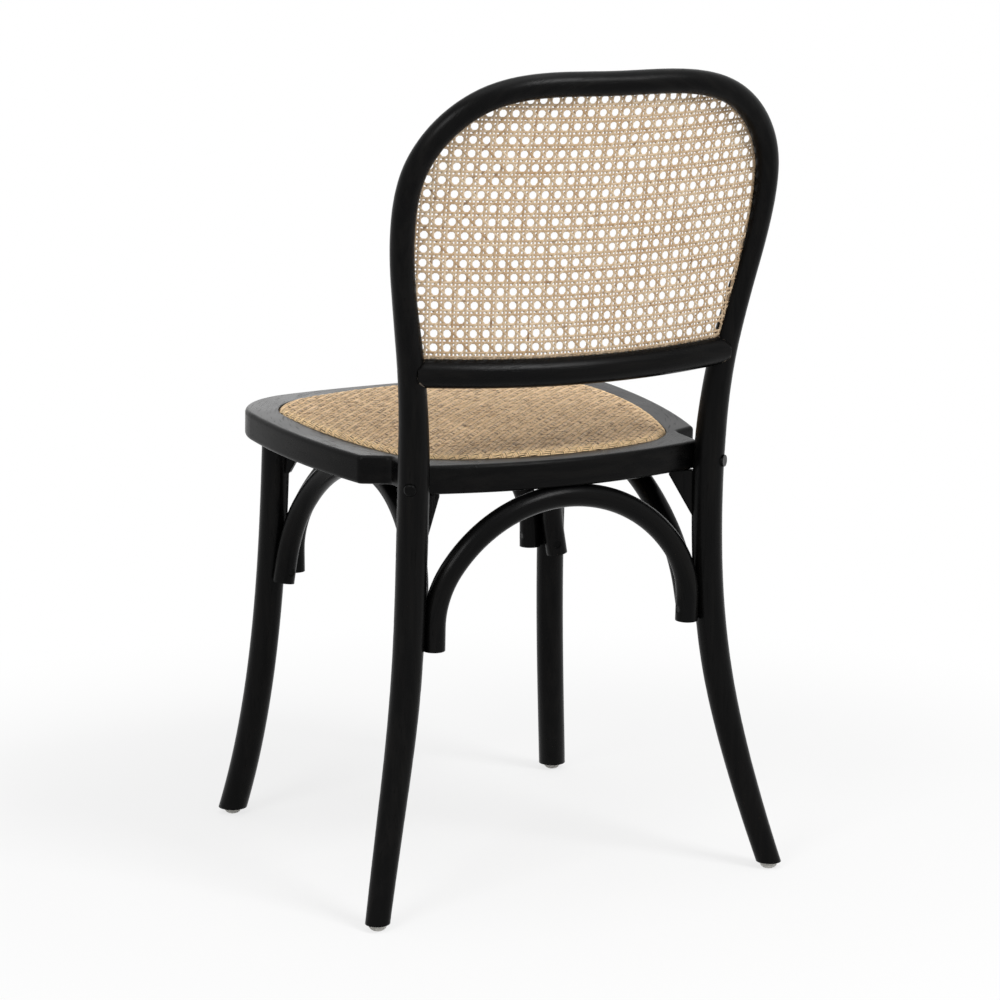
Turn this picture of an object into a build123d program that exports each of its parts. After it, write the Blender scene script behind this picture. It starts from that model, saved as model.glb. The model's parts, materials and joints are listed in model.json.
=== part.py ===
from build123d import *
import os
from math import atan2, cos, degrees, radians, sin, sqrt, tan

# A bentwood dining chair in black-stained elm: a one-piece bow makes the rear legs and the hoop
# of the back, cane fills the hoop, and a woven rattan pad is let into a solid seat.
# Millimetres. The front faces -Y, +X is the sitter's left, and the origin is on the floor
# under the middle of the chair.

# Seat
seat_rear_height = 462      # top of the rim at the middle of the back edge
seat_slope = 2.9            # degrees, the front edge is the higher one
seat_back_y = 172           # middle of the back edge
seat_depth = 411
seat_front_half = 217       # virtual front corners, before rounding
seat_rear_half = 178        # virtual rear corners, before the notches
seat_front_bow = 26         # how far each edge curves out past its corners
seat_side_bow = 22
seat_rear_bow = 30
seat_front_radius = 88
seat_thickness = 30
seat_edge_radius = 4.5
notch_x = 168               # inner corner of the notch beside each rear leg
notch_y = 76
notch_mouth_x = 196         # outer corner of the notch, on the side edge
notch_mouth_y = 89
notch_radius = 7

# Woven pad let into the seat
rim_side = 30
rim_front = 31
rim_rear = 24
pad_side_bow = 20
pad_front_radius = 72
pad_rear_radius = 78
pad_gap = 0.4               # between the pad and the wall of its recess
recess_depth = 20
ledge_width = 66
board_thickness = 8
pad_edge_rise = 4           # height of the pad's border above the rim
pad_crown_radius = 3000
pad_edge_radius = 5
weave_thickness = 2.5
seat_gap = 0.1              # between pieces that are glued or screwed face to face

# Bow: half widths, heights and thicknesses along the rear leg, the post and the hoop
chair_height = 861
glide_height = 7
rear_foot_half = 232.5
calf_half = 205.7
calf_height = 110
knee_half = 184
knee_height = 220
waist_half = 172
waist_drop = 72             # below the seat's rear height
post_half = 180             # at the lower rail
hoop_half = 203.5            # widest place
hoop_drop = 139             # of the widest place below the top
shoulder_in = 6
shoulder_drop = 91
corner_in = 55
corner_drop = 31
bow_forward_y = 154         # foremost place of the bow's curve, seen from the side
bow_forward_height = 340
bow_side_radius = 1420
crown_bulge = 11.5          # the top of the hoop bends this much further back
bow_foot_diameter = 25.4
bow_knee_diameter = 31.4
bow_seat_diameter = 32.6
bow_post_diameter = 28
bow_hoop_diameter = 24.6
bow_sections = 60
foot_trim = 5               # spare length that is cut level at the floor end

# Lower rail and cane
rail_rise = 102             # axis of the rail's ends above the seat's rear height
rail_diameter = 30.6
rail_end_inset = 4
back_tilt = 12.9
back_radius = 640
fit_gap = 0.2
dowel_diameter = 8
dowel_in_post = 11
dowel_in_rail = 24
groove_depth = 5
cane_thickness = 2
cane_pitch = 22.1
cane_hole = 12.2
spline_thickness = 3
spline_width = 4.6

# Front legs
front_leg_diameter = 31
front_top_half = 173
front_top_y = -190
front_splay = 32            # outward at the foot
front_lean = 43             # forward over the whole height
front_kick = 23             # extra forward curve near the foot
splay_power = 2.5
kick_power = 4
tenon_diameter = 20
tenon_length = 20

# Arches under the seat and the corner gussets
arch_diameter = 24
arch_flat = 1.5             # depth of the flat on the crown, against the seat
arch_lap = 0.6              # depth of the hollow that fits each end to its leg
arch_straight = 24          # straight length at each end
arch_ease = 25              # the shoulders' radius is this much less than the height they rise
front_arch_extra = 7        # the front arch is this much taller than half its width
rear_arch_lean = 7          # the rear arch leans back by this much at the crown
side_arch_flat = 4
side_arch_lean = 25         # side arches lean in by this much at the crown
side_front_turn = 11        # degrees, where the ends of a side arch meet the legs,
side_rear_turn = 32         # turned from straight ahead towards the middle of the chair
gusset_reach = 25
gusset_drop = 48
gusset_nose = 4
gusset_rear_turn = 31       # degrees from straight across, towards the seat's middle
gusset_front_turn = 42
gusset_thickness = 9

# Fasteners and glides
screw_diameter = 4
screw_head_diameter = 7.6
screw_head_height = 2
screw_recess = 2.6
screw_rise = 13             # screws stand this far above the ends of an arch
screw_in_leg = 13
top_screw_in_seat = 8
board_screw_in_board = 6
board_screw_side_x = 166
board_screw_side_y = 290
board_screw_end_x = 70
board_screw_inset = 20
bolt_diameter = 6
bolt_head_diameter = 12.5
bolt_head_height = 3
bolt_head_round = 2.4
bolt_drop = 18              # bolt axis below the seat's top
bolt_turn = 51.5            # degrees from +X, seen from above
bolt_seat_depth = 1.2       # spot face for the head
bolt_in_seat = 27
nut_diameter = 10
nut_length = 16
glide_diameter = 18
glide_flat = 10
nail_diameter = 2.4
nail_length = 20
nail_head_diameter = 8
nail_head_height = 1.2
nail_head_level = 3.5

os.makedirs("parts", exist_ok=True)


def save(part, name):
    part.label = name
    export_step(part, f"parts/{name}.step")


# Planes of the seat. Its local y runs back along the slope.
slope = radians(seat_slope)
seat_plane = Plane(
    origin=(0, seat_back_y, seat_rear_height), x_dir=(1, 0, 0), z_dir=(0, sin(slope), cos(slope))
)
seat_under = seat_plane.offset(-seat_thickness)


def seat_top_height(y):
    return seat_rear_height + (seat_back_y - y) * tan(slope)


def seat_under_height(y):
    return seat_top_height(y) - seat_thickness / cos(slope)


# Axis of the bow, from the left foot over the hoop to the right foot
waist_height = seat_rear_height - waist_drop
rail_height = seat_rear_height + rail_rise
crown_height = chair_height - bow_hoop_diameter / 2
hoop_height = chair_height - hoop_drop


def bow_point(half, height):
    drop = height - bow_forward_height
    y = bow_forward_y + bow_side_radius - sqrt(bow_side_radius**2 - drop**2)
    if height > hoop_height:
        y += crown_bulge * (1 - (half / hoop_half) ** 2)
    return Vector(half, y, height)


bow_half = [
    bow_point(rear_foot_half, glide_height - foot_trim),
    bow_point(calf_half, calf_height),
    bow_point(knee_half, knee_height),
    bow_point(waist_half, waist_height),
    bow_point(post_half, rail_height),
    bow_point(hoop_half, hoop_height),
    bow_point(hoop_half - shoulder_in, chair_height - shoulder_drop),
    bow_point(hoop_half - corner_in, chair_height - corner_drop),
]
bow_mirrored = [Vector(-point.X, point.Y, point.Z) for point in reversed(bow_half)]
with BuildLine() as bow_line:
    Spline(*bow_half, bow_point(0, crown_height), *bow_mirrored)
bow_axis = bow_line.edges()[0]

bow_thickness = [
    (glide_height, bow_foot_diameter),
    (knee_height, bow_knee_diameter),
    (waist_height, bow_seat_diameter),
    (seat_rear_height, bow_seat_diameter),
    (rail_height, bow_post_diameter),
    ((rail_height + hoop_height) / 2, bow_hoop_diameter),
]


def bow_radius(height):
    low, low_size = bow_thickness[0]
    if height <= low:
        return low_size / 2
    for high, high_size in bow_thickness[1:]:
        if height <= high:
            share = (height - low) / (high - low)
            return (low_size + (high_size - low_size) * share) / 2
        low, low_size = high, high_size
    return low_size / 2


def bow_fraction(height):
    low, high = 0.0, 0.5
    for _ in range(40):
        middle = (low + high) / 2
        if (bow_axis @ middle).Z < height:
            low = middle
        else:
            high = middle
    return low


def bow_plane(fraction, side=1):
    place = bow_axis @ fraction
    along = bow_axis % fraction
    return Plane(
        origin=(side * place.X, place.Y, place.Z),
        x_dir=(0, 1, 0),
        z_dir=(side * along.X, along.Y, along.Z),
    )


def bow_at(height):
    return bow_axis @ bow_fraction(height)


def bow_length(low, high, side, gap):
    """A stretch of the bow, made larger by a gap, for shaping what fits round it."""
    steps = 4
    with BuildPart() as stretch:
        for step in range(steps + 1):
            height = low + (high - low) * step / steps
            with BuildSketch(bow_plane(bow_fraction(height), side)):
                Circle(bow_radius(height) + gap)
        loft()
    return stretch.part


# Axis of a front leg, which leans forward and curves out towards the foot
front_top_height = seat_under_height(front_top_y)


def front_leg_at(height):
    share = max(0.0, (front_top_height - height) / (front_top_height - glide_height))
    lift = min(0.0, front_top_height - height)
    x = front_top_half + front_splay * share**splay_power
    y = front_top_y - front_lean * share - front_kick * share**kick_power
    y -= lift * front_lean / (front_top_height - glide_height)
    return Vector(x, y, height)


def front_leg_plane(height, side):
    step = 0.5
    place = front_leg_at(height)
    along = front_leg_at(height + step) - front_leg_at(height - step)
    return Plane(
        origin=(side * place.X, place.Y, place.Z),
        x_dir=(0, 1, 0),
        z_dir=(side * along.X, along.Y, along.Z),
    )


def front_leg_length(low, high, side, gap):
    steps = 9
    with BuildPart() as stretch:
        for step in range(steps + 1):
            with BuildSketch(front_leg_plane(low + (high - low) * step / steps, side)):
                Circle(front_leg_diameter / 2 + gap)
        loft()
    return stretch.part


# Layout of the four arches: their crowns meet the seat and their ends meet the legs
arch_radius = arch_diameter / 2
front_reach = front_leg_diameter / 2 + arch_radius - arch_lap


def crown_axis_height(y, flat):
    return seat_under_height(y) - arch_radius + flat


def rear_reach(height):
    return bow_radius(height) + arch_radius - arch_lap


rear_end = knee_height
front_end = knee_height
side_end = knee_height
for _ in range(6):
    rear_touch = rear_end + arch_straight
    rear_leg = bow_at(rear_touch)
    rear_span = rear_leg.X - rear_reach(rear_touch)
    rear_crown_y = rear_leg.Y + rear_arch_lean
    rear_crown = Vector(0, rear_crown_y, crown_axis_height(rear_crown_y, arch_flat))
    rear_end = rear_crown.Z - rear_span

    front_leg = front_leg_at(front_end + arch_straight)
    front_span = front_leg.X - front_reach
    front_crown = Vector(0, front_leg.Y, crown_axis_height(front_leg.Y, arch_flat))
    front_end = front_crown.Z - front_span - front_arch_extra

    side_front_leg = front_leg_at(side_end)
    side_rear_leg = bow_at(side_end)
    turn = radians(side_front_turn)
    side_front = side_front_leg + Vector(-sin(turn), cos(turn), 0) * front_reach
    turn = radians(side_rear_turn)
    side_rear = side_rear_leg - Vector(sin(turn), cos(turn), 0) * rear_reach(side_end)
    side_middle = (side_front + side_rear) * 0.5
    side_span = (side_rear - side_front).length / 2
    side_crown_height = crown_axis_height(side_middle.Y, side_arch_flat)
    side_crown = Vector(side_middle.X - side_arch_lean, side_middle.Y, side_crown_height)
    side_end = side_crown_height - sqrt(side_span**2 - side_arch_lean**2)


# One arch's axis: straight ends, two round shoulders and a flatter crown, each tangent to the next
def arch_path(start, crown, end):
    middle = (start + end) * 0.5
    half = (start - middle).length
    rise = (crown - middle).length - arch_straight
    shoulder = rise - arch_ease
    inset = half - shoulder
    sink = (inset**2 - arch_ease**2) / (2 * arch_ease)
    turn = degrees(atan2(sink, inset))
    sideways = start - middle
    with BuildLine(Plane(middle, x_dir=sideways, z_dir=sideways.cross(crown - middle))) as line:
        Line((half, 0), (half, arch_straight))
        CenterArc((inset, arch_straight), shoulder, 0, turn)
        CenterArc((0, arch_straight - sink), rise + sink, turn, 180 - 2 * turn)
        CenterArc((-inset, arch_straight), shoulder, 180 - turn, turn)
        Line((-half, arch_straight), (-half, 0))
    return line.wires()[0]


def across(point):
    return Vector(-point.X, point.Y, point.Z)


rear_start = Vector(rear_span, rear_leg.Y, rear_end)
front_start = Vector(front_span, front_crown.Y, front_end)
rear_path = arch_path(rear_start, rear_crown, across(rear_start))
front_path = arch_path(front_start, front_crown, across(front_start))
left_path = arch_path(side_front, side_crown, side_rear)
right_path = arch_path(across(side_front), across(side_crown), across(side_rear))

# Screw places: each plane lies under a screw's head and faces the way the head looks
screw_reach = arch_diameter - screw_recess - arch_lap + screw_in_leg
head_level = arch_radius - screw_recess


def end_screws(path, start_leg, end_leg):
    places = []
    share = screw_rise / path.length
    for fraction, leg in ((share, start_leg), (1 - share, end_leg)):
        place = path @ fraction
        away = Vector(place.X - leg.X, place.Y - leg.Y, 0).normalized()
        places.append(Plane(place + away * head_level, z_dir=away))
    return places


rear_screws = end_screws(rear_path, rear_leg, across(rear_leg))
front_screws = end_screws(front_path, front_leg, across(front_leg))
left_screws = end_screws(left_path, side_front_leg, side_rear_leg)
right_screws = end_screws(right_path, across(side_front_leg), across(side_rear_leg))

top_screw_level = arch_diameter - side_arch_flat - screw_recess
top_screws = []
for crown in (rear_crown, front_crown, side_crown, across(side_crown)):
    level = seat_under_height(crown.Y) - top_screw_level
    top_screws.append(Plane((crown.X, crown.Y, level), z_dir=(0, 0, -1)))
top_screw_reach = top_screw_level + top_screw_in_seat


def screw_holes(places, reach):
    """Clearance for a group of screws: the shank, and the recess above each head."""
    with BuildPart() as holes:
        for place in places:
            with BuildSketch(place):
                Circle(screw_diameter / 2 + seat_gap)
            extrude(amount=-reach - seat_gap)
            with BuildSketch(place.offset(-seat_gap)):
                Circle(screw_head_diameter / 2 + fit_gap)
            extrude(amount=arch_radius)
    return holes.part


def screw_group(places, reach):
    with BuildPart() as screws:
        for place in places:
            with BuildSketch(place):
                Circle(screw_diameter / 2)
            extrude(amount=-reach)
            with BuildSketch(place):
                Circle(screw_head_diameter / 2)
            extrude(amount=screw_head_height)
    return screws.part


# Bolts through the rear legs into the corners of the seat
bolt_leg = bow_at(seat_rear_height - bolt_drop)
bolt_height = seat_top_height(bolt_leg.Y) - bolt_drop
bolt_leg = bow_at(bolt_height)
bolt_out = Vector(cos(radians(bolt_turn)), sin(radians(bolt_turn)), 0)
bolt_head_level = bow_radius(bolt_height) - bolt_seat_depth
bolt_reach = bolt_head_level + bow_radius(bolt_height) + bolt_in_seat
bolts = []
for side in (1, -1):
    out = Vector(side * bolt_out.X, bolt_out.Y, 0)
    bolts.append(Plane(Vector(side * bolt_leg.X, bolt_leg.Y, bolt_height) + out * bolt_head_level, z_dir=out))


nut_start = nut_length - bolt_reach


def bolt_holes(radius, start, reach):
    with BuildPart() as holes:
        for bolt in bolts:
            with BuildSketch(bolt.offset(start)):
                Circle(radius)
            extrude(amount=-reach)
    return holes.part


# Feet: centres of the four glides
feet = {}
for side, name in ((1, "left"), (-1, "right")):
    front_foot = front_leg_at(glide_height)
    rear_foot = bow_at(glide_height)
    feet[f"front_{name}"] = Vector(side * front_foot.X, front_foot.Y, 0)
    feet[f"rear_{name}"] = Vector(side * rear_foot.X, rear_foot.Y, 0)


def nail_holes(names):
    with BuildPart() as holes:
        for name in names:
            foot = feet[name]
            with BuildSketch(Plane.XY.offset(nail_head_level)):
                with Locations((foot.X, foot.Y)):
                    Circle(nail_diameter / 2 + seat_gap)
            extrude(amount=nail_length + seat_gap)
    return holes.part


# Surface of the back: part of a cylinder through both posts at the lower rail.
# Its local x is the chair's X and its local y runs up the back.
tilt = radians(back_tilt)
rearward = Vector(0, cos(tilt), -sin(tilt))
upward = Vector(0, sin(tilt), cos(tilt))
rail_post = bow_at(rail_height)
rail_bulge = back_radius - sqrt(back_radius**2 - rail_post.X**2)
back_origin = Vector(0, rail_post.Y, rail_post.Z) + rearward * rail_bulge
back_plane = Plane(origin=back_origin, x_dir=(1, 0, 0), z_dir=rearward * -1)
plan_plane = Plane(origin=back_origin, x_dir=(1, 0, 0), z_dir=upward)
back_height = chair_height - rail_height
panel_bottom = rail_diameter / 2 - groove_depth


def back_outline(from_axis, bottom):
    """The hoop's inner outline in the plane of the back, a set distance inside the bow's axis."""
    first = bow_fraction(rail_height)
    count = 16
    points = []
    for step in range(count + 1):
        fraction = first + (1 - 2 * first) * step / count
        place = back_plane.to_local_coords(bow_axis @ fraction)
        ahead = back_plane.to_local_coords(bow_axis @ (fraction + 0.001)) - place
        inward = Vector(-ahead.Y, ahead.X, 0).normalized()
        points.append((place.X + inward.X * from_axis, place.Y + inward.Y * from_axis))
    with BuildSketch(mode=Mode.PRIVATE) as outline:
        with BuildLine():
            Spline(*points)
            Line(points[-1], points[0])
        make_face()
        with Locations((0, bottom - back_height)):
            Rectangle(4 * hoop_half, 2 * back_height, mode=Mode.SUBTRACT)
    return outline.sketch


def back_sheet(inner, outer, face):
    """A curved sheet between two radii of the back, cut to a face in the plane of the back."""
    with BuildPart() as sheet:
        with BuildSketch(plan_plane.offset(-rail_diameter)):
            with Locations((0, -back_radius)):
                Circle(outer)
                Circle(inner, mode=Mode.SUBTRACT)
        extrude(amount=back_height + 2 * rail_diameter)
        with BuildSketch(back_plane):
            add(face)
        extrude(amount=back_radius / 4, both=True, mode=Mode.INTERSECT)
    return sheet.part


cane_inner = back_radius - cane_thickness / 2
cane_outer = back_radius + cane_thickness / 2
spline_outer = cane_inner - seat_gap
spline_inner = spline_outer - spline_thickness
groove_edge = bow_hoop_diameter / 2 - groove_depth
back_groove = back_sheet(
    spline_inner - fit_gap, cane_outer + fit_gap, back_outline(groove_edge, panel_bottom)
)
panel_edge = groove_edge + fit_gap
panel_low = panel_bottom + fit_gap

# Dowels between the rail and the posts, in line with the ends of the rail
end_bend = rail_post.X / sqrt(back_radius**2 - rail_post.X**2)
dowel_start = bow_radius(rail_height) - dowel_in_post
dowel_length = dowel_in_post + dowel_in_rail
dowels = []
for side in (1, -1):
    inward = Vector(-side, 0, 0) + rearward * end_bend
    place = Vector(side * rail_post.X, rail_post.Y, rail_post.Z)
    dowels.append(Plane(place + inward.normalized() * dowel_start, z_dir=inward))


def dowel_pins(gap):
    with BuildPart() as pins:
        for dowel in dowels:
            with BuildSketch(dowel.offset(-gap)):
                Circle(dowel_diameter / 2 + gap)
            extrude(amount=dowel_length + 2 * gap)
    return pins.part


# Back bow: the hoop and both rear legs bent from one length
with BuildPart() as back_bow:
    for step in range(bow_sections + 1):
        section = bow_plane(step / bow_sections)
        with BuildSketch(section):
            Circle(bow_radius(section.origin.Z))
    loft()
    split(bisect_by=Plane.XY.offset(glide_height), keep=Keep.TOP)
    add(back_groove, mode=Mode.SUBTRACT)
    add(dowel_pins(seat_gap), mode=Mode.SUBTRACT)
    add(screw_holes(rear_screws + left_screws + right_screws, screw_reach), mode=Mode.SUBTRACT)
    add(bolt_holes(bolt_diameter / 2 + seat_gap, 0, bolt_reach), mode=Mode.SUBTRACT)
    add(bolt_holes(bolt_head_diameter / 2 + fit_gap, bolt_head_height, bolt_head_height), mode=Mode.SUBTRACT)
    add(nail_holes(("rear_left", "rear_right")), mode=Mode.SUBTRACT)
save(back_bow.part, "back_bow")

# Lower rail: bowed backwards, with both ends hollowed to sit on the posts
rail_half = rail_post.X - rail_end_inset
rail_sag = sqrt(back_radius**2 - rail_half**2) - back_radius
with BuildPart() as lower_back_rail:
    with BuildLine(plan_plane) as rail_line:
        ThreePointArc((rail_half, rail_sag), (0, 0), (-rail_half, rail_sag))
    rail_path = rail_line.edges()[0]
    with BuildSketch(Plane(rail_path @ 0, x_dir=upward, z_dir=rail_path % 0)):
        Circle(rail_diameter / 2)
    sweep(path=rail_path)
    for side in (1, -1):
        post = bow_length(rail_height - 2 * rail_diameter, rail_height + 2 * rail_diameter, side, fit_gap)
        add(post, mode=Mode.SUBTRACT)
    add(back_groove, mode=Mode.SUBTRACT)
    add(dowel_pins(seat_gap), mode=Mode.SUBTRACT)
save(lower_back_rail.part, "lower_back_rail")

rail_dowels = dowel_pins(0)
save(rail_dowels, "rail_dowels")

# Cane: one holed sheet held in the groove by a ring of spline in front of it
with BuildSketch(mode=Mode.PRIVATE) as cane_face:
    add(back_outline(panel_edge, panel_low))
    clear = back_outline(bow_hoop_diameter / 2 + cane_hole, rail_diameter / 2 + cane_hole / 2).face()
    columns = 2 * int(hoop_half / cane_pitch)
    rows = int(back_height / cane_pitch)
    middle = rail_diameter / 2 + rows * cane_pitch / 2
    grid = GridLocations(cane_pitch, cane_pitch, columns, rows).locations
    spots = [Vector(place.position.X, place.position.Y + middle, 0) for place in grid]
    with Locations([spot for spot in spots if clear.is_inside(spot)]):
        Rectangle(cane_hole, cane_hole, mode=Mode.SUBTRACT)
cane_panel = back_sheet(cane_inner, cane_outer, cane_face.sketch)
save(cane_panel, "cane_panel")

with BuildSketch(mode=Mode.PRIVATE) as spline_face:
    add(back_outline(panel_edge, panel_low))
    add(back_outline(panel_edge + spline_width, panel_low + spline_width), mode=Mode.SUBTRACT)
cane_spline = back_sheet(spline_inner, spline_outer, spline_face.sketch)
save(cane_spline, "cane_spline")


# Seat: a solid slab with curved edges, a recess for the pad and notches round the rear legs
def bowed_outline(front_half, front_y, rear_half, rear_y, front_bow, side_bow, rear_bow):
    corners = [(front_half, front_y), (rear_half, rear_y), (-rear_half, rear_y), (-front_half, front_y)]
    side_x = (front_half + rear_half) / 2 + side_bow
    side_y = (front_y + rear_y) / 2
    middles = [(side_x, side_y), (0, rear_y + rear_bow), (-side_x, side_y), (0, front_y - front_bow)]
    for step in range(4):
        ThreePointArc(corners[step], middles[step], corners[(step + 1) % 4])


with BuildSketch(mode=Mode.PRIVATE) as seat_outline:
    with BuildLine():
        bowed_outline(
            seat_front_half,
            seat_front_bow - seat_depth,
            seat_rear_half,
            -seat_rear_bow,
            seat_front_bow,
            seat_side_bow,
            seat_rear_bow,
        )
    make_face()
    fillet(seat_outline.vertices().group_by(Axis.Y)[0], seat_front_radius)
    for side in (1, -1):
        with BuildLine():
            Polyline(
                (side * notch_x, -notch_y),
                (side * (2 * notch_mouth_x - notch_x), 2 * -notch_mouth_y + notch_y),
                (side * 2 * notch_mouth_x, notch_y),
                (side * notch_x, notch_y),
                close=True,
            )
        make_face(mode=Mode.SUBTRACT)
    fillet(seat_outline.vertices().sort_by(Axis.Y)[4:], notch_radius)


def pad_outline(inset):
    """The pad's outline, drawn in by an inset on every side."""
    with BuildSketch(mode=Mode.PRIVATE) as outline:
        with BuildLine():
            bowed_outline(
                seat_front_half - rim_side - inset,
                seat_front_bow + rim_front + inset - seat_depth,
                seat_rear_half - rim_side - inset,
                -seat_rear_bow - rim_rear - inset,
                seat_front_bow,
                pad_side_bow,
                seat_rear_bow,
            )
        make_face()
        fillet(outline.vertices().group_by(Axis.Y)[0], max(pad_front_radius - inset, pad_edge_radius))
        fillet(outline.vertices().group_by(Axis.Y)[-1], max(pad_rear_radius - inset, pad_edge_radius))
    return outline.sketch


def pad_body(inset, bottom, crown):
    """A block with the pad's outline and a gently domed top."""
    middle = (rim_rear - rim_front - seat_depth) / 2
    with BuildPart() as body:
        with BuildSketch(seat_plane.offset(bottom)):
            add(pad_outline(inset))
        extrude(amount=seat_thickness + recess_depth)
        with Locations(seat_plane * Location((0, middle, crown - pad_crown_radius))):
            Sphere(pad_crown_radius, mode=Mode.INTERSECT)
    return body


# Screws that hold the pad's board, driven up through the ledge of the seat
ledge_thickness = seat_thickness - recess_depth
board_screw_reach = ledge_thickness - screw_recess + board_screw_in_board
board_screws = []
for side in (1, -1):
    for x, y in (
        (board_screw_side_x, -board_screw_side_y),
        (board_screw_end_x, -rim_rear - board_screw_inset),
        (board_screw_end_x, rim_front + board_screw_inset - seat_depth),
    ):
        place = seat_plane.from_local_coords(Vector(side * x, y, screw_recess - seat_thickness))
        board_screws.append(Plane(place, z_dir=seat_plane.z_dir * -1))

front_tenons = []
for side in (1, -1):
    front_tenons.append(front_leg_plane(front_top_height, side))

with BuildPart() as seat_frame:
    with BuildSketch(seat_plane):
        add(seat_outline.sketch)
    extrude(amount=-seat_thickness)
    seat_faces = seat_frame.faces().sort_by(Axis.Z)
    fillet(seat_faces[-1].edges() + seat_faces[0].edges(), seat_edge_radius)
    with BuildSketch(seat_plane):
        add(pad_outline(-pad_gap))
    extrude(amount=-recess_depth, mode=Mode.SUBTRACT)
    with BuildSketch(seat_plane):
        add(pad_outline(ledge_width))
    extrude(amount=-2 * seat_thickness, mode=Mode.SUBTRACT)
    for side in (1, -1):
        leg = bow_length(
            seat_rear_height - 3 * seat_thickness, seat_rear_height + 2 * seat_thickness, side, fit_gap
        )
        add(leg, mode=Mode.SUBTRACT)
    for tenon in front_tenons:
        with BuildSketch(tenon.offset(-tenon_length)):
            Circle(tenon_diameter / 2 + fit_gap)
        extrude(amount=2 * tenon_length + fit_gap, mode=Mode.SUBTRACT)
    add(bolt_holes(bolt_diameter / 2 + seat_gap, 0, bolt_reach + seat_gap), mode=Mode.SUBTRACT)
    add(bolt_holes(nut_diameter / 2 + seat_gap, nut_start, nut_length + seat_gap), mode=Mode.SUBTRACT)
    add(screw_holes(board_screws, board_screw_reach), mode=Mode.SUBTRACT)
    add(screw_holes(top_screws, top_screw_reach), mode=Mode.SUBTRACT)
save(seat_frame.part, "seat_frame")

# Pad: a board on the ledge, foam on the board and a woven cover over both
with BuildPart() as seat_board:
    with BuildSketch(seat_plane.offset(seat_gap - recess_depth)):
        add(pad_outline(0))
    extrude(amount=board_thickness)
    add(screw_holes(board_screws, board_screw_reach), mode=Mode.SUBTRACT)
save(seat_board.part, "seat_board")

board_top = board_thickness + 2 * seat_gap - recess_depth
pad_crown = pad_edge_rise + (seat_front_half - rim_side) ** 2 / (2 * pad_crown_radius)
cover_inset = weave_thickness + seat_gap
seat_foam = pad_body(cover_inset, board_top, pad_crown - cover_inset)
save(seat_foam.part, "seat_foam")

seat_weave = pad_body(0, board_top, pad_crown)
with seat_weave:
    fillet(seat_weave.faces().sort_by(Axis.Z)[-1].edges(), pad_edge_radius)
    add(pad_body(weave_thickness, board_top - weave_thickness, pad_crown - weave_thickness).part,
        mode=Mode.SUBTRACT)
save(seat_weave.part, "seat_weave")

save(screw_group(board_screws, board_screw_reach), "seat_board_screws")

# Front legs, tenoned into the seat from below
for side, name, screws in ((1, "left", left_screws), (-1, "right", right_screws)):
    with BuildPart() as front_leg:
        add(front_leg_length(glide_height - foot_trim, front_top_height + tenon_length, side, 0))
        split(bisect_by=seat_under.offset(-seat_gap), keep=Keep.BOTTOM)
        split(bisect_by=Plane.XY.offset(glide_height), keep=Keep.TOP)
        with BuildSketch(front_leg_plane(front_top_height, side).offset(-tenon_length / 2)):
            Circle(tenon_diameter / 2)
        extrude(amount=3 * tenon_length / 2)
        add(screw_holes(front_screws + screws, screw_reach), mode=Mode.SUBTRACT)
        add(nail_holes((f"front_{name}",)), mode=Mode.SUBTRACT)
    save(front_leg.part, f"front_leg_{name}")


# Arches
def arch(path, cutters, screws):
    with BuildPart() as bent:
        with BuildSketch(Plane(path @ 0, z_dir=path % 0)):
            Circle(arch_radius)
        sweep(path=path)
        split(bisect_by=seat_under.offset(-seat_gap), keep=Keep.BOTTOM)
        for cutter in cutters:
            add(cutter, mode=Mode.SUBTRACT)
        add(screw_holes(screws, screw_reach), mode=Mode.SUBTRACT)
        add(screw_holes(top_screws, top_screw_reach), mode=Mode.SUBTRACT)
    return bent.part


leg_zone = 3 * arch_diameter
rear_cutters = []
front_cutters = []
for side in (1, -1):
    rear_cutters.append(bow_length(rear_end - leg_zone, rear_end + leg_zone, side, fit_gap))
    front_cutters.append(front_leg_length(front_end - leg_zone, front_end + leg_zone, side, fit_gap))
save(arch(rear_path, rear_cutters, rear_screws), "rear_arch")
save(arch(front_path, front_cutters, front_screws), "front_arch")
for side, name, path, screws in (
    (1, "left", left_path, left_screws),
    (-1, "right", right_path, right_screws),
):
    side_cutters = [
        bow_length(side_end - leg_zone, side_end + leg_zone, side, fit_gap),
        front_leg_length(side_end - leg_zone, side_end + leg_zone, side, fit_gap),
    ]
    save(arch(path, side_cutters, screws), f"{name}_arch")

all_end_screws = rear_screws + front_screws + left_screws + right_screws
save(screw_group(all_end_screws, screw_reach), "arch_end_screws")
save(screw_group(top_screws, top_screw_reach), "arch_top_screws")


# Gussets: a triangular block under the seat on the inner side of each leg
def gusset(leg, leg_radius, inward, cutter):
    nose = leg_radius + gusset_reach
    top = seat_thickness / 2
    with BuildPart() as block:
        with BuildSketch(Plane(leg, x_dir=inward, z_dir=inward.cross(Vector(0, 0, 1)))):
            with BuildLine():
                Polyline(
                    (0, top),
                    (nose, top),
                    (nose, -gusset_nose),
                    (leg_radius, -gusset_drop),
                    (0, -gusset_drop),
                    close=True,
                )
            make_face()
        extrude(amount=gusset_thickness / 2, both=True)
        split(bisect_by=seat_under.offset(-seat_gap), keep=Keep.BOTTOM)
        add(cutter, mode=Mode.SUBTRACT)
    return block.part


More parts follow.
